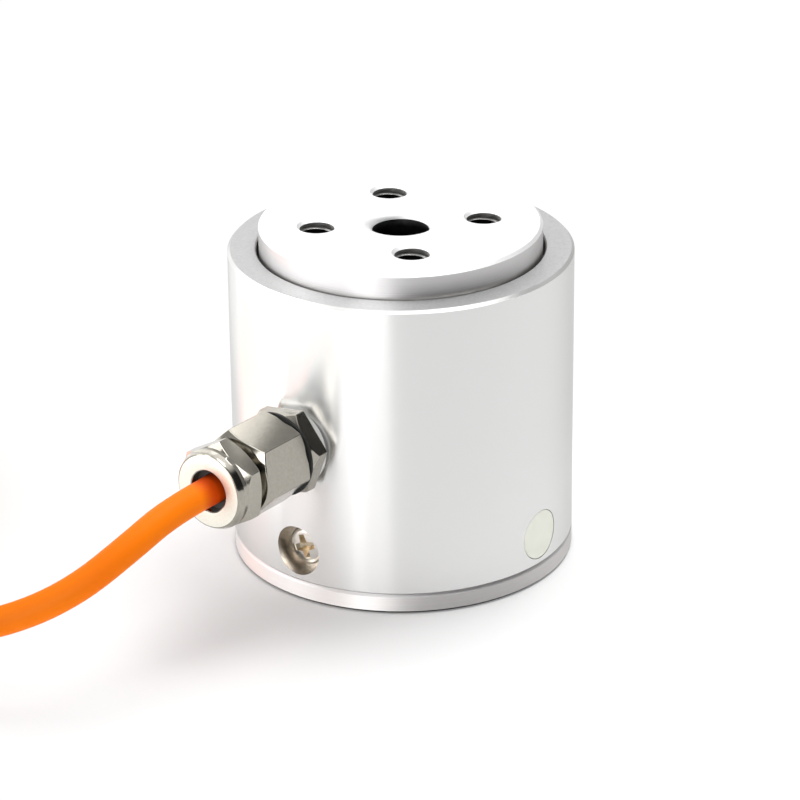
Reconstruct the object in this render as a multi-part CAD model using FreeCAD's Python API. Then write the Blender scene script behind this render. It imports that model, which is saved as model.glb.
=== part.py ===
import FreeCAD, Part
import math
import os
from FreeCAD import Vector

# Column load cell. Millimetres, +Z up the column, origin at the centre of the foot, cable gland towards -Y.

# Overall size
outer_diameter = 60.0
overall_height = 60.5

# Sleeve and the foot that it stands on
sleeve_wall = 5.0
flange_thickness = 3.5
platform_rise = 4.3
seam_chamfer = 0.4
foot_chamfer = 0.5
rim_chamfer = 0.5
bore_edge_chamfer = 0.25

# Elastic element: spigot in the sleeve, gauge column and loading platform
spigot_height = 12.0
spigot_clearance = 0.05
spigot_chamfer = 0.5
column_diameter = 23.0
root_fillet = 4.0
platform_gap = 0.45
platform_thickness = 11.0
platform_chamfer = 0.5
centre_hole_diameter = 9.4
centre_hole_rounding = 2.6
foot_hole_chamfer = 1.0

# Tapped holes in the platform and in the foot
bolt_circle = 29.0
bolt_diameter = 6.0
bolt_chamfer = 0.5
bolt_count = 4
platform_bolt_floor = 2.0
foot_bolt_floor = 5.5

# Seals of the sleeve
o_ring_section = 1.6
o_ring_groove_room = 0.6
o_ring_drop = 2.4
gap_seal_height = 2.0
gap_seal_depth = 3.0

# Radial screws that hold the sleeve, and the plugs over them
screw_height = 9.2
screw_thread = 4.0
screw_clearance = 0.2
screw_head_diameter = 7.0
screw_head_height = 2.0
screw_head_crown = 0.6
screw_length = 8.0
recess_width = 1.1
recess_span = 4.3
recess_depth = 1.3
counterbore_diameter = 9.0
counterbore_web = 1.0
plug_clearance = 0.12
plug_sink = 0.05
plug_head_gap = 0.1

# Cable gland, from the sleeve outwards
gland_height = 29.3
gland_thread = 12.0
thread_clearance = 0.05
gland_seat_depth = 0.15
gland_seat_diameter = 16.6
seat_ring_thickness = 1.15
seat_ring_diameter = 13.4
lock_nut_flats = 14.0
lock_nut_thickness = 3.35
lock_nut_turn = 8.7
lock_nut_chamfer_angle = 45.0
gasket_thickness = 0.45
gasket_diameter = 14.9
body_flats = 14.0
body_length = 10.8
body_turn = 44.3
body_inner_reach = 2.5
neck_diameter = 11.0
neck_gap = 0.15
neck_show = 1.6
dome_nut_flats = 14.0
dome_nut_length = 5.65
dome_nut_turn = 28.1
dome_hex_length = 3.8
dome_nose_diameter = 13.8
dome_nose_rounding = 0.5
dome_wall = 1.7
dome_hole_diameter = 7.2
dome_hole_rounding = 0.4
hex_chamfer_angle = 30.0
nose_chamfer_angle = 40.0
gland_bore = 6.0
seal_diameter = 8.4
seal_seat = 2.2
washer_thickness = 0.8
washer_clearance = 0.1

# Strain gauges and solder terminals on the column's flats
gauge_flat_depth = 0.9
gauge_flat_height = 18.0
gauge_width = 6.0
gauge_length = 10.0
gauge_thickness = 0.12
terminal_width = 5.0
terminal_length = 3.0
terminal_thickness = 0.8
terminal_gap = 2.0
gauge_lift = 2.5

# Bridge board on its spacers
board_thickness = 1.6
board_column_room = 2.0
board_sleeve_room = 1.5
standoff_height = 3.0
standoff_diameter = 5.0
board_screw_thread = 2.5
board_screw_head = 4.5
board_screw_head_height = 1.6
board_screw_grip = 4.0
resistor_length = 4.2
resistor_width = 2.0
resistor_height = 1.4

# Wires inside
cable_diameter = 5.0
cable_inner_reach = 2.0
core_diameter = 1.1
core_offset = 0.9
core_inset = 2.1
core_spacing = 2.0
drain_diameter = 0.6
gauge_lead_diameter = 0.6
gauge_lead_edge = 0.6
gauge_lead_reach = 0.8

# Cable outside: its hand-laid route after the gland, then a tied coil with the free end on top
cable_route = [
    (0.0, -62.3, 29.3),
    (-1.1, -71.8, 26.0),
    (-5.1, -80.1, 20.7),
    (-12.4, -86.3, 16.0),
    (-25.0, -90.6, 10.9),
    (-43.0, -93.4, 6.2),
    (-62.5, -93.9, 3.3),
    (-80.0, -92.5, 3.3),
    (-98.8, -91.5, 3.3),
]
coil_x = -97.5
coil_y = -53.0
coil_middle_radius = 26.0
coil_columns = 4
coil_layers = 5
tie_thickness = 0.8
tie_width = 9.0
tie_angles = (150.0, 330.0)
tail_start = 230.0
tail_sweep = 38.0
end_sleeve_wall = 0.4
end_sleeve_length = 11.0
end_lead_diameter = 1.3
end_lead_length = 24.0
end_lead_spread = 5.0
end_lead_gap = 0.1

# Worked out from the sizes above
outer_radius = outer_diameter / 2
bore_radius = outer_radius - sleeve_wall
sleeve_top = overall_height - platform_rise
spigot_radius = bore_radius - spigot_clearance
spigot_top = flange_thickness + spigot_height
platform_radius = bore_radius - platform_gap
platform_underside = overall_height - platform_thickness
column_radius = column_diameter / 2
column_middle = (spigot_top + platform_underside) / 2
flat_distance = column_radius - gauge_flat_depth
centre_hole_radius = centre_hole_diameter / 2
bolt_radius = bolt_diameter / 2
counterbore_floor = bore_radius + counterbore_web

gland_seat_start = outer_radius - gland_seat_depth
lock_nut_start = gland_seat_start + seat_ring_thickness
lock_nut_end = lock_nut_start + lock_nut_thickness
gasket_end = lock_nut_end + gasket_thickness
body_end = gasket_end + body_length
dome_nut_start = body_end + neck_show
gland_end = dome_nut_start + dome_nut_length
shoulder = gland_end - dome_wall
washer_start = shoulder - washer_thickness
neck_end = washer_start - neck_gap
seal_start = body_end - seal_seat
cable_inner_end = bore_radius - body_inner_reach - cable_inner_reach

board_underside = spigot_top + standoff_height
board_top = board_underside + board_thickness
board_inner_radius = column_radius + board_column_room
board_outer_radius = bore_radius - board_sleeve_room
board_middle_radius = (board_inner_radius + board_outer_radius) / 2

coil_inner_radius = coil_middle_radius - coil_columns * cable_diameter / 2
coil_outer_radius = coil_middle_radius + coil_columns * cable_diameter / 2
coil_height = coil_layers * cable_diameter
coil_top = tie_thickness + coil_height
end_sleeve_radius = cable_diameter / 2 + end_sleeve_wall
tail_radius = coil_middle_radius
tail_height = coil_top + end_sleeve_radius

sides = {"front": -90.0, "right": 0.0, "rear": 90.0, "left": 180.0}
gland_side = sides["front"]
core_colours = ("red", "black", "green", "white")

up = Vector(0, 0, 1)
origin = Vector(0, 0, 0)


# Shape helpers

def turned(*steps):
    # Revolves an outline of (radius, height) steps about Z; a step of two pairs is an arc through the first
    edges = []
    start = steps[0]
    for step in steps[1:] + (steps[0],):
        is_arc = isinstance(step[0], tuple)
        end = step[1] if is_arc else step
        from_point = Vector(start[0], 0, start[1])
        to_point = Vector(end[0], 0, end[1])
        if is_arc:
            through = Vector(step[0][0], 0, step[0][1])
            edges.append(Part.Arc(from_point, through, to_point).toShape())
        else:
            edges.append(Part.LineSegment(from_point, to_point).toShape())
        start = end
    return Part.Face(Part.Wire(edges)).revolve(origin, up, 360)


def on_arc(radius, height, arc_radius, angle):
    # A point of an arc in the turning plane, about the given centre
    turn = math.radians(angle)
    return (radius + arc_radius * math.cos(turn), height + arc_radius * math.sin(turn))


def rod(radius, low, high):
    return Part.makeCylinder(radius, high - low, Vector(0, 0, low))


def ring(inner_radius, outside_radius, low, high):
    return rod(outside_radius, low, high).cut(rod(inner_radius, low, high))


def block(width, depth, low, high):
    return Part.makeBox(width, depth, high - low, Vector(-width / 2, -depth / 2, low))


def hexagon(across_flats, low, high, corner_angle):
    reach = across_flats / math.sqrt(3)
    corners = []
    for index in range(7):
        turn = math.radians(corner_angle + 60 * index)
        corners.append(Vector(reach * math.cos(turn), reach * math.sin(turn), low))
    return Part.Face(Part.makePolygon(corners)).extrude(Vector(0, 0, high - low))


def hex_chamfer_rise(across_flats, angle):
    # Height of a turned chamfer from the flats' circle out to the corners
    return across_flats * (1 / math.sqrt(3) - 0.5) * math.tan(math.radians(angle))


def outward(shape, height, angle):
    # Turns local +Z to point out of the column at this angle, with local +Y up
    turn = FreeCAD.Rotation(up, angle + 90) * FreeCAD.Rotation(Vector(1, 0, 0), 90)
    placed = shape.copy()
    placed.Placement = FreeCAD.Placement(Vector(0, 0, height), turn)
    return placed


def around(shape, angle):
    return shape.rotated(origin, up, angle)


def on_circle(circle_diameter, angle):
    turn = math.radians(angle)
    return Vector(circle_diameter / 2 * math.cos(turn), circle_diameter / 2 * math.sin(turn), 0)


def tube_along(points, diameter):
    # Straight runs joined by the largest tangent arcs; returns the solid, its path length and the arc radii
    corners = [Vector(*point) for point in points]
    edges = []
    radii = []
    start = corners[0]
    for before, corner, after in zip(corners, corners[1:], corners[2:]):
        arriving = (corner - before).normalize()
        leaving = (after - corner).normalize()
        half_turn = arriving.getAngle(leaving) / 2
        setback = 0.45 * min((corner - before).Length, (after - corner).Length)
        arc_start = corner - arriving * setback
        arc_end = corner + leaving * setback
        radius = setback / math.tan(half_turn)
        inward = (leaving - arriving).normalize()
        arc_middle = corner + inward * (radius / math.cos(half_turn) - radius)
        edges.append(Part.LineSegment(start, arc_start).toShape())
        edges.append(Part.Arc(arc_start, arc_middle, arc_end).toShape())
        radii.append(radius)
        start = arc_end
    edges.append(Part.LineSegment(start, corners[-1]).toShape())
    path = Part.Wire(edges)
    first_run = corners[1] - corners[0]
    section = Part.Wire(Part.makeCircle(diameter / 2, corners[0], first_run))
    return path.makePipeShell([section], True, False), path.Length, radii


def bent_rod(diameter, bend_radius, height, start_angle, sweep):
    # A length of round stock bent about Z
    section = Part.makeCircle(diameter / 2, Vector(bend_radius, 0, height), Vector(0, 1, 0))
    bent = Part.Face(Part.Wire(section)).revolve(origin, up, sweep)
    return around(bent, start_angle)


parts = {}


# Elastic element: foot flange, spigot, gauge column and platform from one bar

def bolt_hole(depth):
    # Tapped hole at tap size, with its mouth at height 0 and its chamfer
    mouth = bolt_radius + bolt_chamfer
    return turned((0, 0), (mouth, 0), (bolt_radius, -bolt_chamfer), (bolt_radius, -depth), (0, -depth))


def elastic_element():
    fillet_radius = column_radius + root_fillet
    rounding_radius = centre_hole_radius + centre_hole_rounding
    lower_root = (fillet_radius, spigot_top + root_fillet)
    upper_root = (fillet_radius, platform_underside - root_fillet)
    hole_edge = (rounding_radius, overall_height - centre_hole_rounding)
    body = turned(
        (centre_hole_radius + foot_hole_chamfer, 0),
        (outer_radius - foot_chamfer, 0),
        (outer_radius, foot_chamfer),
        (outer_radius, flange_thickness - seam_chamfer),
        (outer_radius - seam_chamfer, flange_thickness),
        (spigot_radius, flange_thickness),
        (spigot_radius, spigot_top - spigot_chamfer),
        (spigot_radius - spigot_chamfer, spigot_top),
        (fillet_radius, spigot_top),
        (on_arc(*lower_root, root_fillet, 225), (column_radius, lower_root[1])),
        (column_radius, upper_root[1]),
        (on_arc(*upper_root, root_fillet, 135), (fillet_radius, platform_underside)),
        (platform_radius, platform_underside),
        (platform_radius, overall_height - platform_chamfer),
        (platform_radius - platform_chamfer, overall_height),
        (rounding_radius, overall_height),
        (on_arc(*hole_edge, centre_hole_rounding, 135), (centre_hole_radius, hole_edge[1])),
        (centre_hole_radius, foot_hole_chamfer),
    )
    tools = [o_ring_groove()]
    top_hole = bolt_hole(platform_thickness - platform_bolt_floor)
    foot_hole = bolt_hole(spigot_top - foot_bolt_floor).rotated(origin, Vector(1, 0, 0), 180)
    for index in range(bolt_count):
        place = on_circle(bolt_circle, 45 + 360 / bolt_count * index)
        tools.append(top_hole.translated(place + Vector(0, 0, overall_height)))
        tools.append(foot_hole.translated(place))
    for angle in sides.values():
        screw_end = counterbore_floor - screw_length
        tools.append(outward(rod(screw_thread / 2, screw_end, outer_radius), screw_height, angle))
        flat = block(column_diameter, gauge_flat_height, flat_distance, column_diameter)
        tools.append(outward(flat, column_middle, angle))
    for place in standoff_places():
        hole = rod(board_screw_thread / 2, spigot_top - board_screw_grip, spigot_top)
        tools.append(hole.translated(place))
    return body.cut(tools)


def o_ring_groove():
    groove_top = spigot_top - o_ring_drop + o_ring_section / 2 + o_ring_groove_room / 2
    groove_width = o_ring_section + o_ring_groove_room
    return ring(bore_radius - o_ring_section, outer_radius, groove_top - groove_width, groove_top)


def standoff_places():
    return [on_circle(2 * board_middle_radius, 45 + 90 * index) for index in range(4)]


parts["elastic_element"] = elastic_element()


# Sleeve with its gland hole and counterbored screw holes

def sleeve():
    body = turned(
        (bore_radius, flange_thickness),
        (outer_radius - seam_chamfer, flange_thickness),
        (outer_radius, flange_thickness + seam_chamfer),
        (outer_radius, sleeve_top - rim_chamfer),
        (outer_radius - rim_chamfer, sleeve_top),
        (bore_radius + bore_edge_chamfer, sleeve_top),
        (bore_radius, sleeve_top - bore_edge_chamfer),
    )
    gland_hole = rod(gland_thread / 2 + thread_clearance, column_radius, outer_diameter)
    gland_seat = rod(gland_seat_diameter / 2, gland_seat_start, outer_diameter)
    tools = [outward(gland_hole.fuse(gland_seat), gland_height, gland_side)]
    for angle in sides.values():
        counterbore = rod(counterbore_diameter / 2, counterbore_floor, outer_diameter)
        through = rod(screw_thread / 2 + screw_clearance, column_radius, counterbore_floor)
        tools.append(outward(counterbore.fuse(through), screw_height, angle))
    return body.cut(tools)


parts["sleeve"] = sleeve()


# Seals between element and sleeve

def base_o_ring():
    section = o_ring_section / 2
    return Part.makeTorus(bore_radius - section, section, Vector(0, 0, spigot_top - o_ring_drop))


def platform_gap_seal():
    top = sleeve_top - gap_seal_depth
    return ring(platform_radius, bore_radius, top - gap_seal_height, top)


parts["base_o_ring"] = base_o_ring()
parts["platform_gap_seal"] = platform_gap_seal()


# Radial screws and the plugs that close three of their holes

def sleeve_screw():
    head_radius = screw_head_diameter / 2
    shank_radius = screw_thread / 2
    head_top = counterbore_floor + screw_head_height
    shoulder_height = head_top - screw_head_crown
    # The crown's arc passes a quarter of its rise below the top at half the head's radius
    crown_middle = (head_radius / 2, head_top - screw_head_crown / 4)
    screw = turned(
        (0, counterbore_floor - screw_length),
        (shank_radius, counterbore_floor - screw_length),
        (shank_radius, counterbore_floor),
        (head_radius, counterbore_floor),
        (head_radius, shoulder_height),
        (crown_middle, (0, head_top)),
    )
    slot = block(recess_span, recess_width, head_top - recess_depth, head_top + recess_depth)
    return screw.cut([slot, around(slot, 90)])


def screw_hole_plug():
    plug_start = counterbore_floor + screw_head_height + plug_head_gap
    return rod(counterbore_diameter / 2 - plug_clearance, plug_start, outer_diameter)


screws = [outward(sleeve_screw(), screw_height, angle) for angle in sides.values()]
parts["sleeve_screws"] = Part.makeCompound(screws)
skin = rod(outer_radius - plug_sink, 0, overall_height)
plugged_sides = [angle for angle in sides.values() if angle != gland_side]
plugs = [outward(screw_hole_plug(), screw_height, angle).common(skin) for angle in plugged_sides]
parts["screw_hole_plugs"] = Part.makeCompound(plugs)


# Cable gland, each piece turned about local Z with local height as distance from the column's axis

def gland_lock_nut():
    # Chamfered towards the gland body only; its other face lies flat on the seat ring
    corner = lock_nut_flats / math.sqrt(3)
    rise = hex_chamfer_rise(lock_nut_flats, lock_nut_chamfer_angle)
    envelope = turned(
        (0, lock_nut_start),
        (corner, lock_nut_start),
        (corner, lock_nut_end - rise),
        (lock_nut_flats / 2, lock_nut_end),
        (0, lock_nut_end),
    )
    nut = hexagon(lock_nut_flats, lock_nut_start, lock_nut_end, lock_nut_turn).common(envelope)
    return nut.cut(rod(gland_thread / 2 + thread_clearance, lock_nut_start, lock_nut_end))


def gland_sealing_ring(diameter, low, high):
    return ring(gland_thread / 2 + thread_clearance, diameter / 2, low, high)


def gland_body():
    inner_end = bore_radius - body_inner_reach
    flat = body_flats / 2
    corner = body_flats / math.sqrt(3)
    rise = hex_chamfer_rise(body_flats, hex_chamfer_angle)
    envelope = turned(
        (0, gasket_end),
        (flat, gasket_end),
        (corner, gasket_end + rise),
        (corner, body_end - rise),
        (flat, body_end),
        (0, body_end),
    )
    grip = hexagon(body_flats, gasket_end, body_end, body_turn).common(envelope)
    stem = rod(gland_thread / 2, inner_end, gasket_end)
    neck = rod(neck_diameter / 2, body_end, neck_end)
    solid = grip.fuse([stem, neck]).removeSplitter()
    return solid.cut([rod(gland_bore / 2, inner_end, neck_end), rod(seal_diameter / 2, seal_start, neck_end)])


def gland_dome_nut():
    flat = dome_nut_flats / 2
    corner = dome_nut_flats / math.sqrt(3)
    nose = dome_nose_diameter / 2
    rear_rise = hex_chamfer_rise(dome_nut_flats, hex_chamfer_angle)
    hex_end = dome_nut_start + dome_hex_length
    front_fall = (corner - nose) * math.tan(math.radians(nose_chamfer_angle))
    nose_edge = (nose - dome_nose_rounding, gland_end - dome_nose_rounding)
    envelope = turned(
        (0, dome_nut_start),
        (flat, dome_nut_start),
        (corner, dome_nut_start + rear_rise),
        (corner, hex_end - front_fall),
        (nose, hex_end),
        (nose, nose_edge[1]),
        (on_arc(*nose_edge, dome_nose_rounding, 45), (nose_edge[0], gland_end)),
        (0, gland_end),
    )
    outside = hexagon(dome_nut_flats, dome_nut_start, gland_end, dome_nut_turn).common(envelope)
    hole = dome_hole_diameter / 2
    thread = neck_diameter / 2 + thread_clearance
    mouth = (hole + dome_hole_rounding, gland_end - dome_hole_rounding)
    inside = turned(
        (0, dome_nut_start),
        (thread, dome_nut_start),
        (thread, shoulder),
        (hole, shoulder),
        (hole, mouth[1]),
        (on_arc(*mouth, dome_hole_rounding, 135), (mouth[0], gland_end)),
        (0, gland_end),
    )
    return outside.cut(inside)


def gland_pressure_washer():
    outside = neck_diameter / 2 - washer_clearance
    return ring(cable_diameter / 2 + washer_clearance, outside, washer_start, shoulder)


gland = {
    "gland_seat_ring": gland_sealing_ring(seat_ring_diameter, gland_seat_start, lock_nut_start),
    "gland_lock_nut": gland_lock_nut(),
    "gland_gasket": gland_sealing_ring(gasket_diameter, lock_nut_end, gasket_end),
    "gland_body": gland_body(),
    "gland_seal": ring(cable_diameter / 2, seal_diameter / 2, seal_start, washer_start),
    "gland_pressure_washer": gland_pressure_washer(),
    "gland_dome_nut": gland_dome_nut(),
    "cable_inner": rod(cable_diameter / 2, cable_inner_end, gland_end),
}
for name, shape in gland.items():
    parts[name] = outward(shape, gland_height, gland_side)


# Strain gauges, solder terminals and their leads on the four flats

gauge_middle = column_middle + gauge_lift
terminal_middle = gauge_middle - gauge_length / 2 - terminal_gap - terminal_length / 2
terminal_face = flat_distance + terminal_thickness
lead_end_radius = board_inner_radius + gauge_lead_reach
lead_offset = terminal_width / 2 - gauge_lead_edge


def gauge_lead(offset):
    points = [
        (offset, 0, terminal_face),
        (offset, 0, lead_end_radius),
        (offset, board_top - terminal_middle, lead_end_radius),
    ]
    return tube_along(points, gauge_lead_diameter)[0]


for side, angle in sides.items():
    gauge = block(gauge_width, gauge_length, flat_distance, flat_distance + gauge_thickness)
    terminal = block(terminal_width, terminal_length, flat_distance, terminal_face)
    leads = Part.makeCompound([gauge_lead(-lead_offset), gauge_lead(lead_offset)])
    parts["gauge_" + side] = outward(gauge, gauge_middle, angle)
    parts["terminal_" + side] = outward(terminal, terminal_middle, angle)
    parts["gauge_leads_" + side] = outward(leads, terminal_middle, angle)


# Ring-shaped bridge board with spacers, screws and trimming resistors

def bridge_board():
    board = ring(board_inner_radius, board_outer_radius, board_underside, board_top)
    hole = rod(board_screw_thread / 2, board_underside, board_top)
    return board.cut([hole.translated(place) for place in standoff_places()])


def board_screw():
    shank = rod(board_screw_thread / 2, spigot_top - board_screw_grip, board_top)
    head = rod(board_screw_head / 2, board_top, board_top + board_screw_head_height)
    return shank.fuse(head).removeSplitter()


def on_standoffs(shape):
    return Part.makeCompound([shape.translated(place) for place in standoff_places()])


parts["bridge_board"] = bridge_board()
spacer = ring(board_screw_thread / 2, standoff_diameter / 2, spigot_top, board_underside)
parts["board_standoffs"] = on_standoffs(spacer)
parts["board_screws"] = on_standoffs(board_screw())
for index, name in enumerate(("zero_resistor", "span_resistor", "balance_resistor", "modulus_resistor")):
    resistor = block(resistor_width, resistor_length, board_top, board_top + resistor_height)
    resistor = resistor.translated(Vector(board_middle_radius, 0, 0))
    parts[name] = around(resistor, 22.5 + 90 * index)


# Cable cores and drain wire from the cable's inner end down to the board

def core(offset_x, offset_up, reach, diameter):
    height = gland_height + offset_up
    points = [
        (offset_x, -cable_inner_end, height),
        (offset_x, -(cable_inner_end - reach), height),
        (offset_x, -(cable_inner_end - reach), board_top),
    ]
    return tube_along(points, diameter)[0]


core_places = [(-1, 1), (1, 1), (-1, -1), (1, -1)]
for colour, (side_x, side_up) in zip(core_colours, core_places):
    core_reach = core_inset + core_spacing * (1 + side_up) / 2
    parts["core_" + colour] = core(side_x * core_offset, side_up * core_offset, core_reach, core_diameter)
parts["drain_wire"] = core(0, 0, core_inset + core_spacing / 2, drain_diameter)


# Cable outside, its coil, ties and free end

route = [(0, -gland_end, gland_height)] + cable_route
parts["cable_run"], run_length, run_radii = tube_along(route, cable_diameter)
run_volume = math.pi * (cable_diameter / 2) ** 2 * run_length
print("cable bend radii", [round(radius, 1) for radius in run_radii])
print("cable run length", round(run_length, 1))
print("cable volume to section times length", round(parts["cable_run"].Volume / run_volume, 4))


def cable_coil():
    edge = cable_diameter / 2
    low = tie_thickness
    high = coil_top
    inner = coil_inner_radius
    outside = coil_outer_radius
    return turned(
        (inner, low + edge),
        (on_arc(inner + edge, low + edge, edge, 225), (inner + edge, low)),
        (outside - edge, low),
        (on_arc(outside - edge, low + edge, edge, -45), (outside, low + edge)),
        (outside, high - edge),
        (on_arc(outside - edge, high - edge, edge, 45), (outside - edge, high)),
        (inner + edge, high),
        (on_arc(inner + edge, high - edge, edge, 135), (inner, high - edge)),
    )


def coil_tie(angle):
    # A flat strap round the coil's section
    width = coil_outer_radius - coil_inner_radius
    outside = Part.makeBox(width + 2 * tie_thickness, tie_width, coil_top + tie_thickness,
                           Vector(coil_inner_radius - tie_thickness, -tie_width / 2, 0))
    corner = cable_diameter / 2 + tie_thickness
    long_edges = [edge for edge in outside.Edges if abs(edge.tangentAt(edge.FirstParameter).y) > 0.5]
    strap = outside.makeFillet(corner, long_edges).cut(cable_coil())
    return around(strap, angle)


def end_lead(index):
    # Fanned straight leads out of the end of the shrink sleeve
    place = index - (len(core_colours) - 1) / 2
    lead = rod(end_lead_diameter / 2, end_lead_gap, end_lead_gap + end_lead_length)
    lead = lead.rotated(origin, Vector(1, 0, 0), 90)
    lead = lead.rotated(origin, up, place * end_lead_spread)
    lead = lead.translated(Vector(tail_radius + place * end_lead_diameter, 0, tail_height))
    return around(lead, sleeve_end)


# The free end lies on the coil and runs clockwise, as the coil is wound
tail_end = tail_start - tail_sweep
sleeve_sweep = math.degrees(end_sleeve_length / tail_radius)
sleeve_end = tail_end - sleeve_sweep
coil = {
    "cable_coil": cable_coil(),
    "coil_ties": Part.makeCompound([coil_tie(angle) for angle in tie_angles]),
    "cable_tail": bent_rod(cable_diameter, tail_radius, tail_height, tail_end, tail_sweep),
    "end_sleeve": bent_rod(2 * end_sleeve_radius, tail_radius, tail_height, sleeve_end, sleeve_sweep),
}
for index, colour in enumerate(core_colours):
    coil["end_lead_" + colour] = end_lead(index)
for name, shape in coil.items():
    parts[name] = shape.translated(Vector(coil_x, coil_y, 0))


# One STEP file for each piece
os.makedirs("parts", exist_ok=True)
for name, shape in parts.items():
    shape.exportStep(os.path.join("parts", name + ".step"))
print(len(parts), "pieces")
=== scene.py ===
import bpy
import bmesh
from math import cos, sin, pi, radians
from mathutils import Matrix, Vector


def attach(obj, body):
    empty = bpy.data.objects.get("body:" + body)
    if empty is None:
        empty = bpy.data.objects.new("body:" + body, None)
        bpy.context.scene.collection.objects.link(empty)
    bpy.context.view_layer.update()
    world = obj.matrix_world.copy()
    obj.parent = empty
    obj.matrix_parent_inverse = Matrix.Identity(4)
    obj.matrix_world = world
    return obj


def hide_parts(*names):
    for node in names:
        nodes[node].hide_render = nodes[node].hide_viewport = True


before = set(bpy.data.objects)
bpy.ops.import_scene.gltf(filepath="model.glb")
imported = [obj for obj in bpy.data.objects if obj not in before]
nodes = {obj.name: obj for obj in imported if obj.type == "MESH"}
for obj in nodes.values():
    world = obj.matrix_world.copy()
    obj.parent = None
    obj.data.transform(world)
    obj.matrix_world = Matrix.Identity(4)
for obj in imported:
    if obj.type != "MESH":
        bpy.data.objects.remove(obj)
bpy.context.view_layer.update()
scene = bpy.context.scene
scene.view_settings.view_transform = "Standard"
mm = 0.001
print("frame loaded:", len(nodes), "nodes")


# camera, set from the photo: it looks down past the gland on the left
cameraSettings = {
    "azimuth": radians(37.6),
    "elevation": radians(26.31),
    "distance": 664.9 * mm,
    "pan": 0.0006,
    "tilt": 0.0367,
    "roll": 0.0092,
    "lens": 167.18,
    "sensor": 36,
    "clipStart": 0.01,
}


def makeCamera(s):
    camera = bpy.data.objects.new("camera", bpy.data.cameras.new("camera"))
    scene.collection.objects.link(camera)
    camera.data.lens = s["lens"]
    camera.data.sensor_width = s["sensor"]
    camera.data.clip_start = s["clipStart"]
    orbit = Matrix.Rotation(s["azimuth"], 4, "Z") @ Matrix.Rotation(pi / 2 - s["elevation"], 4, "X")
    back = Matrix.Translation((0, 0, s["distance"]))
    aim = Matrix.Rotation(s["pan"], 4, "Y") @ Matrix.Rotation(s["tilt"], 4, "X")
    camera.matrix_world = orbit @ back @ aim @ Matrix.Rotation(-s["roll"], 4, "Z")
    scene.camera = camera


makeCamera(cameraSettings)
print("camera placed")


# material helpers: small wrappers round the node tree
def newMaterial(name, metal=0.0):
    material = bpy.data.materials.new(name)
    material.use_nodes = True
    tree = material.node_tree
    shader = tree.nodes["Principled BSDF"]
    shader.inputs["Metallic"].default_value = metal
    return material, tree, shader


def addNode(tree, kind, **values):
    # a value goes to the socket of that name, or else to the node's own setting
    node = tree.nodes.new(kind)
    for key, value in values.items():
        if key in node.inputs:
            node.inputs[key].default_value = value
        else:
            setattr(node, key, value)
    return node


def objectCoords(tree, scale=(1, 1, 1)):
    coords = addNode(tree, "ShaderNodeTexCoord")
    mapping = addNode(tree, "ShaderNodeMapping", Scale=scale)
    tree.links.new(coords.outputs["Object"], mapping.inputs["Vector"])
    return mapping.outputs["Vector"]


def noise(tree, vector, scale, detail=2.0):
    texture = addNode(tree, "ShaderNodeTexNoise", Scale=scale, Detail=detail, Roughness=0.5)
    tree.links.new(vector, texture.inputs["Vector"])
    return texture.outputs["Fac"]


def remap(tree, value, fromRange=(0, 1), toRange=(0, 1), soft=False):
    node = addNode(tree, "ShaderNodeMapRange", interpolation_type="SMOOTHSTEP" if soft else "LINEAR")
    for key, number in zip(("From Min", "From Max", "To Min", "To Max"), (*fromRange, *toRange)):
        node.inputs[key].default_value = number
    tree.links.new(value, node.inputs["Value"])
    return node.outputs["Result"]


def calculate(tree, operation, first, second):
    # each side is a socket or a number
    node = addNode(tree, "ShaderNodeMath", operation=operation)
    for socket, value in zip(node.inputs, (first, second)):
        if isinstance(value, bpy.types.NodeSocket):
            tree.links.new(value, socket)
        else:
            socket.default_value = value
    return node.outputs[0]


def blend(tree, value, low, high, span=(0.3, 0.7)):
    # from the low colour to the high one over a span of the value
    node = addNode(tree, "ShaderNodeValToRGB")
    for element, position, colour in zip(node.color_ramp.elements, span, (low, high)):
        element.position = position
        element.color = (*colour, 1)
    tree.links.new(value, node.inputs["Fac"])
    return node.outputs["Color"]


def colourAndGloss(tree, shader, s, tone, gloss):
    tree.links.new(blend(tree, tone, s["low"], s["high"]), shader.inputs["Base Color"])
    tree.links.new(remap(tree, gloss, toRange=s["roughness"]), shader.inputs["Roughness"])


def bump(tree, shader, height, distance, strength):
    node = addNode(tree, "ShaderNodeBump", Strength=strength, Distance=distance)
    tree.links.new(height, node.inputs["Height"])
    tree.links.new(node.outputs["Normal"], shader.inputs["Normal"])


# the cable: the route out of the gland, then the put-away coil on the same spline, both in millimetres
cable = {
    "diameter": 5.0 * mm,
    "length": 3.0,
    "exit": (0.0, -52.85 * mm, 29.3 * mm),
    "route": [
        (0.0, -52.85, 29.3),
        (0.0, -62.3, 29.3),
        (-1.1, -71.8, 26.0),
        (-5.1, -80.1, 20.7),
        (-12.4, -86.3, 16.0),
        (-25.0, -90.6, 10.9),
        (-43.0, -93.4, 6.2),
        (-62.5, -93.9, 3.3),
        (-80.0, -92.5, 3.3),
        (-98.8, -91.5, 3.3),
    ],
    "coilCentre": (-97.5, -53.0),
    "coilRest": 0.8,
    "coilRadii": (18.5, 33.5),
    "layers": 5,
    "pointsPerTurn": 16,
    "joinTurns": 0.25,  # from the route onto the coil
    "liftTurns": 0.5,  # from one layer up to the next
    "tailRadius": 26.0,
    "tailHeight": 28.7,
    "tailEnd": 192.0,
    "tailClimb": 2.2,  # how early the free end is up on the coil
    "tailSlide": (2, 0.5),  # how fast it moves to the coil's middle, and how late
    "smoothness": 6,
}
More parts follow.
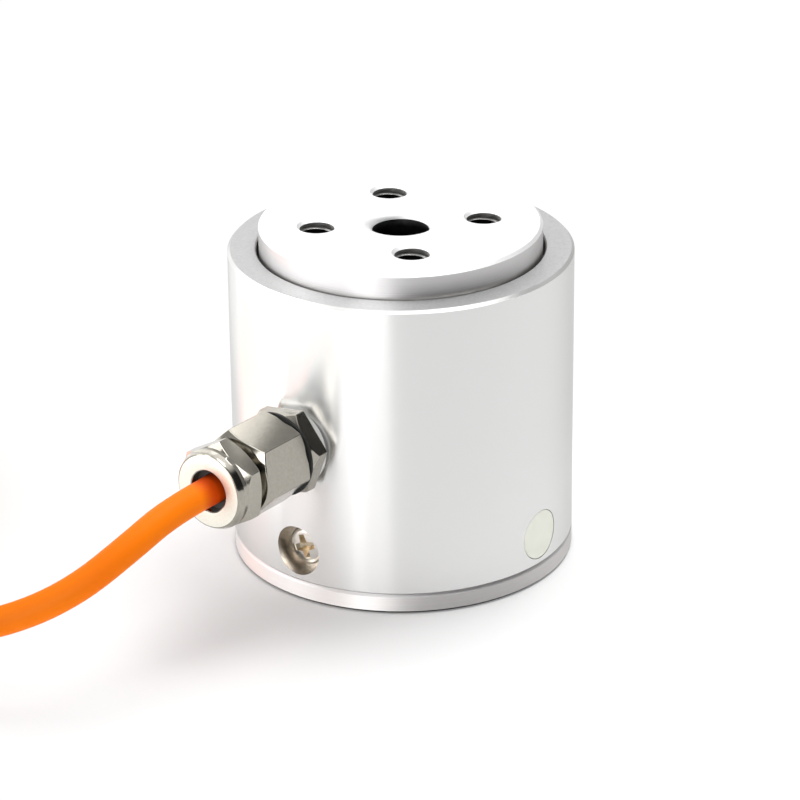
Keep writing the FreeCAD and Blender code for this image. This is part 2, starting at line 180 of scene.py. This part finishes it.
jacketFinish = {
    "low": (0.95, 0.190, 0.002),
    "high": (0.99, 0.225, 0.004),
    "roughness": (0.5, 0.6),
    "gloss": 0.08,
    "cloudScale": 55,
    "grainScale": 600,
    "waveScale": 900,
    "waveDepth": 0.03 * mm,
    "waveStrength": 0.4,
    # painted shade: the deeper red of the jacket in the gland's mouth, and the distances over which it fades out
    "mouth": (0.62, 0.06, 0.001),
    "mouthShadeFade": (5.2 * mm, 2.5 * mm),
}


# cable jacket: orange, extruded, with a faint waviness
def cableJacket(s):
    material, tree, shader = newMaterial("cable_jacket")
    place = objectCoords(tree)
    tone = blend(tree, noise(tree, place, s["cloudScale"], 4), s["low"], s["high"])
    # painted shade: a deeper red near the gland's mouth, where the jacket lies in the shade of the nose
    reach = addNode(tree, "ShaderNodeVectorMath", operation="DISTANCE")
    reach.inputs[1].default_value = cable["exit"]
    tree.links.new(place, reach.inputs[0])
    mouth = addNode(tree, "ShaderNodeMixRGB", Color2=(*s["mouth"], 1))
    tree.links.new(remap(tree, reach.outputs["Value"], s["mouthShadeFade"], soft=True), mouth.inputs["Fac"])
    tree.links.new(tone, mouth.inputs["Color1"])
    tree.links.new(mouth.outputs["Color"], shader.inputs["Base Color"])
    grain = noise(tree, place, s["grainScale"])
    tree.links.new(remap(tree, grain, toRange=s["roughness"]), shader.inputs["Roughness"])
    shader.inputs["Specular IOR Level"].default_value = s["gloss"]
    bump(tree, shader, noise(tree, place, s["waveScale"], 3), s["waveDepth"], s["waveStrength"])
    return material


def coilPoints(s):
    # clockwise layers, in and out in turn, each one cable higher
    pitch = s["diameter"] / mm
    inner, outer = s["coilRadii"]
    turns = (outer - inner) / pitch
    step = 2 * pi / s["pointsPerTurn"]
    lead = Vector(s["route"][-1][:2]) - Vector(s["coilCentre"])
    angle = lead.angle_signed(Vector((1, 0)))
    stretches = [(s["joinTurns"], lead.length, outer, 0, 0)]
    for layer in range(s["layers"]):
        near, far = (outer, inner) if layer % 2 == 0 else (inner, outer)
        stretches.append((turns, near, far, layer, layer))
        if layer + 1 < s["layers"]:
            stretches.append((s["liftTurns"], far, far, layer, layer + 1))
    points = []
    swell = 1 / cos(step / 2)  # the spline runs inside its points
    for length, fromRadius, toRadius, fromLayer, toLayer in stretches:
        count = round(length * s["pointsPerTurn"])
        for index in range(count):
            angle -= step
            part = (index + 1) / count
            radius = (fromRadius + (toRadius - fromRadius) * part) * swell
            height = s["coilRest"] + (fromLayer + (toLayer - fromLayer) * part + 0.5) * pitch
            points.append((radius, angle, height))
    # the free end climbs onto the coil and lies on its middle
    lastRadius, lastAngle, lastHeight = points[-1]
    endAngle = radians(s["tailEnd"]) - 2 * pi * (1 + int(-lastAngle / (2 * pi)))
    if lastAngle - endAngle < pi:
        endAngle -= 2 * pi
    count = round((lastAngle - endAngle) / step)
    slideRate, slideDelay = s["tailSlide"]
    for index in range(count):
        part = (index + 1) / count
        climb = min(1, part * s["tailClimb"])
        slide = min(1, max(0, part * slideRate - slideDelay))
        radius = lastRadius + (s["tailRadius"] * swell - lastRadius) * slide
        height = lastHeight + (s["tailHeight"] - lastHeight) * climb
        points.append((radius, lastAngle + (endAngle - lastAngle) * part, height))
    x, y = s["coilCentre"]
    return [(x + r * cos(a), y + r * sin(a), z) for r, a, z in points]


def makeCable(s):
    curve = bpy.data.curves.new("cable", "CURVE")
    curve.dimensions = "3D"
    spline = curve.splines.new("NURBS")
    points = s["route"] + coilPoints(s)
    spline.points.add(len(points) - 1)
    for point, place in zip(spline.points, points):
        point.co = (*(Vector(place) * mm), 1)
    spline.order_u = 3
    spline.use_endpoint_u = True
    spline.resolution_u = s["smoothness"]
    curve.bevel_depth = s["diameter"] / 2
    curve.bevel_resolution = s["smoothness"]
    curve.use_fill_caps = True
    cord = bpy.data.objects.new("cable", curve)
    scene.collection.objects.link(cord)
    curve.materials.append(jacket)
    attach(cord, "root")
    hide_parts("cable_run", "cable_coil", "cable_tail")
    return cord


jacket = cableJacket(jacketFinish)
cord = makeCable(cable)
print("cable laid")


# turned aluminium: the rings stretch the reflections upright, by each finish's stretch
rings = {
    "scale": 5200,
    "depth": 0.003 * mm,
    "strength": 0.5,
    "acrossTurn": 0.25,
    "outlineTint": (0.72, 0.72, 0.71),  # greyer towards the outline
}
turnedLooks = {
    "sleeve_satin": {
        "low": (0.735, 0.735, 0.73), "high": (0.795, 0.795, 0.79), "roughness": (0.24, 0.28), "stretch": 0.9},
    "rim_lip": {
        "low": (0.78, 0.78, 0.77), "high": (0.84, 0.84, 0.83), "roughness": (0.34, 0.38), "stretch": 0.75},
    # painted shade: the sleeve's lower chamfer darkened for the shade in the seam
    "seam_shade": {
        "low": (0.42, 0.41, 0.41), "high": (0.50, 0.49, 0.49), "roughness": (0.50, 0.58), "stretch": 0.6},
    "platform_side": {
        "low": (0.61, 0.60, 0.60), "high": (0.71, 0.70, 0.70), "roughness": (0.34, 0.42), "stretch": 0.6},
    # painted reflection: a faint pink tint on the foot stands in for the orange cable's glow
    "foot_side": {
        "low": (0.81, 0.79, 0.78), "high": (0.89, 0.87, 0.86), "roughness": (0.52, 0.60), "stretch": 0.9},
    # painted shade: the foot's upper chamfer darkened for the shade in the seam
    "foot_lip_shade": {
        "low": (0.66, 0.65, 0.65), "high": (0.74, 0.73, 0.73), "roughness": (0.48, 0.56), "stretch": 0.6},
    # painted shadow: the foot's bottom chamfer near black for the contact shadow under the foot
    "under_edge_shadow": {
        "low": (0.04, 0.04, 0.04), "high": (0.07, 0.07, 0.07), "roughness": (0.40, 0.50), "stretch": 0.6},
}


def turnedMetal(name, s):
    material, tree, shader = newMaterial(name, 1.0)
    grooves = noise(tree, objectCoords(tree, (1, 1, rings["scale"])), 1.0, 3)
    colourAndGloss(tree, shader, s, grooves, grooves)
    bump(tree, shader, grooves, rings["depth"], rings["strength"])
    tangent = addNode(tree, "ShaderNodeTangent", direction_type="RADIAL", axis="Z")
    tree.links.new(tangent.outputs["Tangent"], shader.inputs["Tangent"])
    shader.inputs["Anisotropic"].default_value = s["stretch"]
    shader.inputs["Anisotropic Rotation"].default_value = rings["acrossTurn"]
    shader.inputs["Specular Tint"].default_value = (*rings["outlineTint"], 1)
    return material


# blasted and bored aluminium: an even grain with some relief
grainDepth = 0.006 * mm
grainLooks = {
    "platform_top": {
        "low": (0.88, 0.88, 0.88), "high": (0.94, 0.94, 0.94), "roughness": (0.48, 0.58), "grain": 2600, "relief": 0.6},
    "rim_top": {
        "low": (0.535, 0.535, 0.535), "high": (0.605, 0.605, 0.605), "roughness": (0.44, 0.52), "grain": 2200,
        "relief": 0.25},
    "bored_aluminium": {
        "low": (0.50, 0.49, 0.47), "high": (0.60, 0.59, 0.57), "roughness": (0.25, 0.35), "grain": 900, "relief": 0.6},
    "counterbored_aluminium": {
        "low": (0.66, 0.61, 0.54), "high": (0.76, 0.71, 0.64), "roughness": (0.20, 0.28), "grain": 900, "relief": 0.6},
    # painted shade: the bore walls near black for the dark inside the deep holes
    "hole_shade": {
        "low": (0.015, 0.015, 0.015), "high": (0.03, 0.03, 0.03), "roughness": (0.40, 0.50), "grain": 900,
        "relief": 0.6},
    "thread_cut": {
        "low": (0.48, 0.48, 0.47), "high": (0.58, 0.58, 0.57), "roughness": (0.20, 0.28), "grain": 1500, "relief": 0.6},
}


def grainedMetal(name, s):
    material, tree, shader = newMaterial(name, 1.0)
    grain = noise(tree, objectCoords(tree), s["grain"], 3)
    colourAndGloss(tree, shader, s, grain, grain)
    bump(tree, shader, grain, grainDepth, s["relief"])
    return material


# tapped hole: painted shade, dark further in and bright at both mouths, by height from the middle of the cell in
# millimetres
mouthFinish = {
    # painted shade: the near black deep inside the hole
    "deepShade": (0.02, 0.02, 0.02),
    "mouth": (0.50, 0.49, 0.48),
    "middle": 30.25,
    "fade": (28.5, 29.5),
    "roughness": (0.35, 0.45),
    "grain": 900,
}


def tappedMetal(name, s):
    material, tree, shader = newMaterial(name, 1.0)
    place = objectCoords(tree)
    split = addNode(tree, "ShaderNodeSeparateXYZ")
    tree.links.new(place, split.inputs["Vector"])
    offset = calculate(tree, "SUBTRACT", split.outputs["Z"], s["middle"] * mm)
    reach = calculate(tree, "ABSOLUTE", offset, 0)
    fade = remap(tree, reach, [height * mm for height in s["fade"]])
    tree.links.new(blend(tree, fade, s["deepShade"], s["mouth"], (0, 1)), shader.inputs["Base Color"])
    grain = noise(tree, place, s["grain"], 3)
    tree.links.new(remap(tree, grain, toRange=s["roughness"]), shader.inputs["Roughness"])
    return material


# nickel plate: bright on the flats, a softer turned face on the nose
plating = {"cloudScale": 2200, "hazeScale": 2400, "grainScale": 3500, "depth": 0.002 * mm, "strength": 0.3}
nickelFinish = {"low": (0.365, 0.345, 0.30), "high": (0.405, 0.385, 0.34), "roughness": (0.10, 0.17)}
noseFinish = {"low": (0.82, 0.84, 0.755), "high": (0.885, 0.905, 0.825), "roughness": (0.42, 0.52)}


def nickelPlate(name, s):
    material, tree, shader = newMaterial(name, 1.0)
    place = objectCoords(tree)
    clouds = noise(tree, place, plating["cloudScale"], 3)
    haze = noise(tree, place, plating["hazeScale"], 3)
    colourAndGloss(tree, shader, s, clouds, haze)
    bump(tree, shader, noise(tree, place, plating["grainScale"]), plating["depth"], plating["strength"])
    return material


# plain finishes: darker and lighter colour, roughness, metal or not
plainGrain = {"scale": 400, "roughnessSpread": 0.05}
plainLooks = {
    "seal_rubber": ((0.006, 0.006, 0.006), (0.012, 0.012, 0.012), 0.6, 0.0),
    "seal_pale": ((0.70, 0.70, 0.68), (0.78, 0.78, 0.76), 0.5, 0.0),
    "plug_ivory": ((0.87, 0.88, 0.78), (0.91, 0.92, 0.82), 0.4, 0.0),
    "screw_steel": ((0.66, 0.64, 0.60), (0.74, 0.72, 0.68), 0.22, 1.0),
    "screw_recess": ((0.53, 0.45, 0.33), (0.63, 0.55, 0.43), 0.25, 1.0),
    "tie_black": ((0.02, 0.02, 0.02), (0.03, 0.03, 0.03), 0.45, 0.0),
    "tinned_copper": ((0.66, 0.65, 0.62), (0.76, 0.75, 0.72), 0.3, 1.0),
    "lead_copper": ((0.66, 0.36, 0.22), (0.76, 0.44, 0.28), 0.3, 1.0),
    "gauge_film": ((0.40, 0.20, 0.05), (0.48, 0.26, 0.07), 0.35, 0.0),
    "board_green": ((0.012, 0.12, 0.045), (0.02, 0.16, 0.06), 0.4, 0.0),
    "resistor_body": ((0.02, 0.02, 0.022), (0.035, 0.035, 0.038), 0.5, 0.0),
    "core_red": ((0.50, 0.016, 0.012), (0.60, 0.024, 0.018), 0.42, 0.0),
    "core_black": ((0.012, 0.012, 0.012), (0.022, 0.022, 0.022), 0.42, 0.0),
    "core_green": ((0.012, 0.22, 0.05), (0.02, 0.30, 0.07), 0.42, 0.0),
    "core_white": ((0.74, 0.74, 0.72), (0.82, 0.82, 0.80), 0.42, 0.0),
}


def plainFinish(name, low, high, rough, metal):
    material, tree, shader = newMaterial(name, metal)
    grain = noise(tree, objectCoords(tree), plainGrain["scale"], 3)
    spread = plainGrain["roughnessSpread"]
    s = {"low": low, "high": high, "roughness": (rough - spread, rough + spread)}
    colourAndGloss(tree, shader, s, grain, grain)
    return material


looks = {name: turnedMetal(name, s) for name, s in turnedLooks.items()}
looks.update({name: grainedMetal(name, s) for name, s in grainLooks.items()})
looks.update({name: plainFinish(name, *values) for name, values in plainLooks.items()})
looks["tapped_hole"] = tappedMetal("tapped_hole", mouthFinish)
looks["nickel_plate"] = nickelPlate("nickel_plate", nickelFinish)
looks["nickel_nose"] = nickelPlate("nickel_nose", noseFinish)

# where the zones of the turned pieces end: slopes, and heights and distances from the axis in millimetres
zoneEnds = {
    "level": 0.9,
    "tilted": 0.3,
    "wall": 0.45,
    "outside": 29.0,
    "rim": 55.9,
    "rimLip": 55.6,
    "screwSeat": 25.2,
    "screwRow": (4.4, 14.0),
    "platformTop": 58.5,
    "platformTopSlope": 0.4,
    "platformReach": 23.9,
    "platformUnder": 48.0,
    "boltRing": (8.0, 18.0),
    "tappedEnds": (9.9, 49.6),
    "centreHole": 4.8,
    "footReach": 28.0,
    "footTop": 3.6,
    "footEdge": 0.6,
    "footBottom": 0.1,
}


def sleeveZone(reach, z, slope, e):
    if z > e["rim"] and slope > e["level"]:
        return "rim_top"
    if reach > e["outside"]:
        if z > e["rimLip"] and slope > e["tilted"]:
            return "rim_lip"
        # painted shade on the sleeve's lower chamfer at the seam
        return "seam_shade" if slope < -e["tilted"] else "sleeve_satin"
    low, high = e["screwRow"]
    return "counterbored_aluminium" if reach > e["screwSeat"] and low < z < high else "bored_aluminium"


def elementZone(reach, z, slope, e):
    if z > e["platformTop"] and slope > e["platformTopSlope"]:
        return "platform_top"
    inner, outer = e["boltRing"]
    low, high = e["tappedEnds"]
    nearEnd = z > high or z < low
    if abs(slope) < e["wall"]:
        if inner < reach < outer and nearEnd:
            return "tapped_hole"
        # painted shade on the walls of the centre bore
        if reach < inner and (nearEnd or reach < e["centreHole"]):
            return "hole_shade"
    if reach > e["platformReach"] and z > e["platformUnder"]:
        return "platform_side"
    # painted shadow on the foot's bottom chamfer
    if reach > e["outside"] and -e["level"] < slope < -e["tilted"] and z < e["footEdge"]:
        return "under_edge_shadow"
    # painted shade on the foot's upper chamfer at the seam
    if reach > e["outside"] and e["tilted"] < slope < e["level"] and z < e["footTop"]:
        return "foot_lip_shade"
    if reach > e["footReach"] and z < e["footTop"]:
        return "foot_side"
    return "rim_top" if z < e["footBottom"] and slope < -e["level"] else "bored_aluminium"


def paintZones(name, zone, finishes):
    # each face takes the finish of its zone
    mesh = nodes[name].data
    mesh.materials.clear()
    for finish in finishes:
        mesh.materials.append(looks[finish])
    for face in mesh.polygons:
        reach = face.center.to_2d().length / mm
        face.material_index = finishes.index(zone(reach, face.center.z / mm, face.normal.z, zoneEnds))


paintZones("sleeve", sleeveZone,
           ["bored_aluminium", "rim_top", "rim_lip", "seam_shade", "sleeve_satin", "counterbored_aluminium"])
paintZones("elastic_element", elementZone,
           ["bored_aluminium", "platform_top", "tapped_hole", "hole_shade", "platform_side", "under_edge_shadow", "foot_lip_shade",
            "foot_side", "rim_top"])

# the nodes that have one finish all over
sides = ("front", "right", "rear", "left")
leadColours = ("red", "black", "green", "white")
paintedNodes = {
    "seal_rubber": ["gland_gasket", "base_o_ring", "platform_gap_seal", "gland_seal"],
    "seal_pale": ["gland_seat_ring"],
    "plug_ivory": ["screw_hole_plugs"],
    "tie_black": ["gland_pressure_washer", "coil_ties", "end_sleeve"],
    "gauge_film": ["gauge_" + side for side in sides],
    "lead_copper": ["terminal_" + side for side in sides] + ["gauge_leads_" + side for side in sides],
    "board_green": ["bridge_board"],
    "screw_steel": ["board_standoffs", "board_screws"],
    "resistor_body": ["zero_resistor", "span_resistor", "balance_resistor", "modulus_resistor"],
    "tinned_copper": ["drain_wire"],
}
paintedNodes.update({"core_" + colour: ["core_" + colour] for colour in leadColours})


def paint(name, material):
    nodes[name].data.materials.clear()
    nodes[name].data.materials.append(material)


for finish, names in paintedNodes.items():
    for name in names:
        paint(name, looks[finish])
paint("cable_inner", jacket)
print("materials done")


# modelling helpers: new pieces are drawn in millimetres
def turnProfile(profile, steps, turn=0.0, closed=False):
    # spins an outline of radius and height round the Z axis
    bm = bmesh.new()
    verts = [bm.verts.new((r * cos(turn), r * sin(turn), z)) for r, z in profile]
    edges = [bm.edges.new((verts[i - 1], verts[i])) for i in range(0 if closed else 1, len(verts))]
    bmesh.ops.spin(bm, geom=verts + edges, cent=(0, 0, 0), axis=(0, 0, 1), angle=2 * pi, steps=steps, use_merge=True)
    bmesh.ops.remove_doubles(bm, verts=bm.verts, dist=1e-4)
    return bm


def addPiece(name, bm, materials, slot, *replaced):
    mesh = bpy.data.meshes.new(name)
    bm.to_mesh(mesh)
    bm.free()
    for material in materials:
        mesh.materials.append(looks[material])
    piece = bpy.data.objects.new(name, mesh)
    scene.collection.objects.link(piece)
    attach(piece, "root")
    if replaced:
        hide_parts(*replaced)
    return piece


# gland hexagons: each blank is turned, its six flats are milled and their edges broken to catch the light
gland = {
    "height": 29.3,
    "flats": 14.0,
    "steps": 72,
    "edgeWidth": 0.14 * mm,
    "edgeSegments": 2,
    "sharpFrom": radians(24),
    "noseStart": 52.8,
    "noseSlope": 0.97,
}
lockNut = {
    "node": "gland_lock_nut",
    "turn": 8.7,
    "profile": ((6.05, 31.0), (8.6, 31.0), (8.6, 32.6), (6.85, 34.35), (6.05, 34.35)),
}
glandBody = {
    "node": "gland_body",
    "turn": 44.3,
    "profile": ((3.0, 22.5), (6.0, 22.5), (6.0, 34.8), (6.8, 34.8), (8.6, 35.84), (8.6, 44.56), (6.8, 45.6),
                (5.2, 45.6), (5.5, 45.9), (5.0, 46.4), (5.5, 46.9), (5.5, 50.2), (4.2, 50.2), (4.2, 43.4),
                (3.0, 43.4)),
}
domeNut = {
    "node": "gland_dome_nut",
    "turn": 28.1,
    "profile": ((5.55, 47.2), (6.8, 47.2), (8.6, 48.24), (8.6, 49.57), (7.05, 50.88), (7.05, 51.65), (6.66, 52.42),
                (6.62, 52.64), (6.5, 52.78), (6.3, 52.85), (4.1, 52.85), (3.85, 52.82), (3.69, 52.71), (3.6, 52.5),
                (3.6, 51.15), (5.55, 51.15)),
}


def milledHexagon(s, nut):
    turn = radians(nut["turn"])
    bm = turnProfile(nut["profile"], s["steps"], turn, closed=True)
    for side in range(6):
        out = Matrix.Rotation(turn + radians(30 + 60 * side), 3, "Z") @ Vector((1, 0, 0))
        cut = bmesh.ops.bisect_plane(bm, geom=bm.verts[:] + bm.edges[:] + bm.faces[:], dist=1e-4,
                                     plane_co=out * s["flats"] / 2, plane_no=out, clear_outer=True)
        rim = [g for g in cut["geom_cut"] if isinstance(g, bmesh.types.BMEdge)]
        bmesh.ops.holes_fill(bm, edges=rim)
    bmesh.ops.recalc_face_normals(bm, faces=bm.faces)
    for edge in bm.edges:
        edge.smooth = edge.calc_face_angle() < s["sharpFrom"]
    weight = bm.edges.layers.float.new("bevel_weight_edge")
    for face in bm.faces:
        face.smooth = True
        face.material_index = int(face.normal.z > s["noseSlope"] and face.calc_center_median().z > s["noseStart"])
        if len(face.verts) > 8:  # a milled flat
            for edge in face.edges:
                edge[weight] = 1
    place = Matrix.Translation((0, 0, s["height"])) @ Matrix.Rotation(radians(90), 4, "X")
    bm.transform(Matrix.Scale(mm, 4) @ place)
    piece = addPiece(nut["node"] + "_plated", bm, ["nickel_plate", "nickel_nose"], "nickel_plate", nut["node"])
    bevel = piece.modifiers.new("edges", "BEVEL")
    bevel.width = s["edgeWidth"]
    bevel.segments = s["edgeSegments"]
    bevel.limit_method = "WEIGHT"
    bevel.harden_normals = True


for nut in (lockNut, glandBody, domeNut):
    milledHexagon(gland, nut)
print("gland turned and milled")


# threads of the tapped holes: one ridge wound down each hole, in the platform and in the foot
threads = {
    "minor": 2.62,
    "major": 3.04,
    "pitch": 1.0,
    "crest": 0.04,
    "root": 0.2,
    "stepsPerTurn": 28,
    "circle": 14.5,
    "holes": (45, 135, 225, 315),
    "rows": ((60.5 - 0.95, -1, 7), (0.95, 1, 8)),  # first height, up or down, turns
}


def makeThreads(s):
    bm = bmesh.new()
    outline = ((s["major"], -s["root"]), (s["minor"], -s["crest"]), (s["minor"], s["crest"]), (s["major"], s["root"]))
    for startHeight, sense, turns in s["rows"]:
        rise = Vector((0, 0, sense * s["pitch"] * mm / s["stepsPerTurn"]))
        for hole in s["holes"]:
            centre = Vector((cos(radians(hole)), sin(radians(hole)), 0)) * s["circle"] * mm
            verts = [bm.verts.new(centre + Vector((r, 0, startHeight + z)) * mm) for r, z in outline]
            edges = [bm.edges.new((verts[i - 1], verts[i])) for i in range(len(verts))]
            bmesh.ops.spin(bm, geom=verts + edges, cent=centre, axis=(0, 0, 1), dvec=rise,
                           angle=2 * pi * turns * sense, steps=s["stepsPerTurn"] * turns, use_merge=False)
    bmesh.ops.holes_fill(bm, edges=[e for e in bm.edges if e.is_boundary], sides=4)
    bmesh.ops.recalc_face_normals(bm, faces=bm.faces)
    addPiece("hole_threads", bm, ["thread_cut"], "aluminium")


makeThreads(threads)
print("threads cut")


# sleeve screws: pan heads with a tapered cross recess
screws = {
    "height": 9.2,
    "seat": 26.0,
    "profile": ((0, -8), (2.0, -8), (2.0, 0), (3.5, 0), (3.5, 1.05), (3.38, 1.45), (3.08, 1.75), (2.62, 1.93)),
    "steps": 48,
    "faceHeight": 1.98,
    "armTip": 2.2,
    "armHalf": 0.55,
    "armRoot": 0.78,
    "recess": ((1.86, 0.92), (1.35, 0.72), (0.75, 0.42)),  # height and size of each step down
    "turn": 20,
    "crownFrom": 0.2,
    "sharpFrom": radians(30),
}


def makeScrews(s):
    bm = turnProfile(s["profile"], s["steps"])
    crown = [e for e in bm.edges if e.is_boundary]
    # the cross outline, bridged to the crown, then drawn down in steps as its walls
    cross = []
    for quarter in range(4):
        turn = Matrix.Rotation(radians(90 * quarter + s["turn"]), 3, "Z")
        for x, y in ((s["armTip"], -s["armHalf"]), (s["armTip"], s["armHalf"]), (s["armRoot"], s["armRoot"])):
            cross.append(bm.verts.new(turn @ Vector((x, y, s["faceHeight"]))))
    loop = [bm.edges.new((cross[i - 1], cross[i])) for i in range(len(cross))]
    bmesh.ops.bridge_loops(bm, edges=crown + loop)
    outside = set(bm.faces)
    height = s["faceHeight"]
    size = 1.0
    for nextHeight, nextSize in s["recess"]:
        made = bmesh.ops.extrude_edge_only(bm, edges=loop)["geom"]
        loop = [g for g in made if isinstance(g, bmesh.types.BMEdge)]
        low = [g for g in made if isinstance(g, bmesh.types.BMVert)]
        bmesh.ops.scale(bm, vec=(nextSize / size, nextSize / size, 1), verts=low)
        bmesh.ops.translate(bm, vec=(0, 0, nextHeight - height), verts=low)
        height, size = nextHeight, nextSize
    bmesh.ops.contextual_create(bm, geom=loop)
    bmesh.ops.recalc_face_normals(bm, faces=bm.faces)
    for face in bm.faces:
        face.material_index = int(face not in outside)
        face.smooth = face in outside and face.calc_center_median().z > s["crownFrom"]
    for edge in bm.edges:
        edge.smooth = len(edge.link_faces) == 2 and edge.calc_face_angle() < s["sharpFrom"]
    # one screw to each side, pointing out of the sleeve
    one = bm.copy()
    bm.clear()
    for side in range(4):
        place = Matrix.Rotation(radians(90 * side), 4, "Z") @ Matrix.Translation((0, 0, s["height"]))
        place = place @ Matrix.Rotation(radians(90), 4, "X") @ Matrix.Translation((0, 0, s["seat"]))
        copied = one.copy()
        copied.transform(Matrix.Scale(mm, 4) @ place)
        mesh = bpy.data.meshes.new("screw")
        copied.to_mesh(mesh)
        copied.free()
        bm.from_mesh(mesh)
        bpy.data.meshes.remove(mesh)
    one.free()
    addPiece("sleeve_screws_cross", bm, ["screw_steel", "screw_recess"], "screw_steel", "sleeve_screws")


makeScrews(screws)
print("screws made")


# stripped leads at the cable's free end, fanned out of the shrink sleeve
leads = {
    "profile": ((0, 0.1), (0.65, 0.1), (0.65, 17.35), (0.53, 17.5), (0.42, 17.52), (0.42, 23.9), (0.27, 24.1),
                (0, 24.1)),
    "steps": 20,
    "sideSlope": 0.5,
    "stripped": 17.5,
    "spacing": 1.3,
    "fan": 5.0,
    "sleeveEnd": 167.76,
    "reach": 26.0,
    "height": 28.7,
}


def makeLeads(s):
    pieces = []
    for index, colour in enumerate(leadColours):
        fan = index - (len(leadColours) - 1) / 2
        bm = turnProfile(s["profile"], s["steps"])
        bmesh.ops.recalc_face_normals(bm, faces=bm.faces)
        for face in bm.faces:
            face.smooth = abs(face.normal.z) < s["sideSlope"]
            face.material_index = int(face.calc_center_median().z > s["stripped"])
        place = Matrix.Translation((*cable["coilCentre"], 0)) @ Matrix.Rotation(radians(s["sleeveEnd"]), 4, "Z")
        place = place @ Matrix.Translation((s["reach"] + fan * s["spacing"], 0, s["height"]))
        place = place @ Matrix.Rotation(radians(fan * s["fan"]), 4, "Z") @ Matrix.Rotation(radians(90), 4, "X")
        bm.transform(Matrix.Scale(mm, 4) @ place)
        finishes = ["core_" + colour, "tinned_copper"]
        pieces.append(addPiece("lead_" + colour, bm, finishes, "core_" + colour, "end_lead_" + colour))
    return pieces


endLeads = makeLeads(leads)
print("leads stripped")


# studio: white floor that keeps the shadow, a bright side on the left and behind, a dim room on the right
studio = {
    "azimuth": cameraSettings["azimuth"],
    "floorSize": 6,
    "floorTone": 0.92,
    "floorRoughness": 0.6,
    "floorWhite": (0.17, 0.75),  # share of plain white beside the object and past its shadow
    "floorFade": (0.045, 0.08),
    "room": 0.03,
    "glows": (  # direction as the camera sees it, from and to which cosine it grows, brightness
        ((-0.85, 0.5, 0.15), (0.2, 0.8), 0.5),
        ((0.35, 0.93, 0.1), (0.3, 0.8), 0.5),
        ((0, 0, 1), (0.7, 1.0), 1.75),
    ),
}
# place and target as the camera sees them, size, brightness of the face, and the rays that miss it
lamps = {
    "key": ((0.25, 0.2, 0.9), (0, 0, 0.03), (0.42, 0.42), 8.5, None),
    "left_card": ((-0.072, 0.0025, 0.1), (0, 0.0025, 0.1), (0.055, 0.2), 1.3, "visible_diffuse"),
    "edge_card": ((-0.072, 0.0675, 0.1), (0, 0.0675, 0.1), (0.075, 0.2), 0.45, "visible_diffuse"),
    "low_card": ((-0.233, -0.19, 0.06), (0, 0, 0.06), (0.31, 0.12), 3.3, "visible_diffuse"),
    "fill": ((0, -0.85, 0.16), (0, 0, 0.05), (0.8, 0.28), 3.2, "visible_glossy"),
    "front_strip": ((-0.161, -0.442, 0.175), (0, 0, 0.03), (0.217, 0.33), 4.0, "visible_diffuse"),
    "high_card": ((-0.4, -0.05, 0.36), (0, 0, 0.03), (0.24, 0.2), 2.5, "visible_diffuse"),
    "right_card": ((0.455, 0.04, 0.233), (0, 0, 0.03), (0.46, 0.44), 0.12, "visible_diffuse"),
}


def fromCamera(right, away, up):
    # a place or direction as the camera sees it: to the right, away from it and up
    return Matrix.Rotation(studio["azimuth"], 3, "Z") @ Vector((right, away, up))


def makeFloor(s):
    mesh = bpy.data.meshes.new("floor")
    bm = bmesh.new()
    bmesh.ops.create_grid(bm, x_segments=1, y_segments=1, size=s["floorSize"])
    bm.to_mesh(mesh)
    bm.free()
    floor = bpy.data.objects.new("floor", mesh)
    scene.collection.objects.link(floor)
    material, tree, shader = newMaterial("floor_white")
    shader.inputs["Base Color"].default_value = (*[s["floorTone"]] * 3, 1)
    shader.inputs["Roughness"].default_value = s["floorRoughness"]
    shader.inputs["Specular IOR Level"].default_value = 0.0
    path = addNode(tree, "ShaderNodeLightPath").outputs
    seen = calculate(tree, "MAXIMUM", path["Is Camera Ray"], path["Is Glossy Ray"])
    seen = calculate(tree, "MAXIMUM", seen, path["Is Transmission Ray"])
    # the white grows away from the object, past its shadow
    reach = addNode(tree, "ShaderNodeVectorMath", operation="LENGTH")
    tree.links.new(addNode(tree, "ShaderNodeTexCoord").outputs["Object"], reach.inputs[0])
    fade = remap(tree, reach.outputs["Value"], s["floorFade"], s["floorWhite"], soft=True)
    mix = addNode(tree, "ShaderNodeMixShader")
    tree.links.new(calculate(tree, "MULTIPLY", seen, fade), mix.inputs["Fac"])
    tree.links.new(shader.outputs[0], mix.inputs[1])
    tree.links.new(addNode(tree, "ShaderNodeEmission").outputs[0], mix.inputs[2])
    tree.links.new(mix.outputs[0], tree.nodes["Material Output"].inputs["Surface"])
    mesh.materials.append(material)


def makeWorld(s):
    world = bpy.data.worlds.new("studio")
    scene.world = world
    world.use_nodes = True
    tree = world.node_tree
    coords = addNode(tree, "ShaderNodeTexCoord")
    total = s["room"]
    for direction, span, amount in s["glows"]:
        dot = addNode(tree, "ShaderNodeVectorMath", operation="DOT_PRODUCT")
        tree.links.new(coords.outputs["Generated"], dot.inputs[0])
        dot.inputs[1].default_value = fromCamera(*direction)
        glow = remap(tree, dot.outputs["Value"], span, (0, amount), soft=True)
        total = calculate(tree, "ADD", glow, total)
    tree.links.new(total, tree.nodes["Background"].inputs["Strength"])
    tree.nodes["Background"].inputs["Color"].default_value = (1, 1, 1, 1)


def areaLamp(name, place, target, size, brightness, missedBy):
    # the power comes from how bright the lamp's face should look
    lamp = bpy.data.lights.new(name, "AREA")
    lamp.shape = "RECTANGLE"
    lamp.size, lamp.size_y = size
    lamp.energy = brightness * pi * size[0] * size[1]
    obj = bpy.data.objects.new(name, lamp)
    scene.collection.objects.link(obj)
    start = fromCamera(*place)
    obj.location = start
    obj.rotation_euler = (fromCamera(*target) - start).to_track_quat("-Z", "Y").to_euler()
    obj.visible_camera = False
    if missedBy:
        setattr(obj, missedBy, False)


makeFloor(studio)
makeWorld(studio)
for name, settings in lamps.items():
    areaLamp(name, *settings)
print("stage and light done")
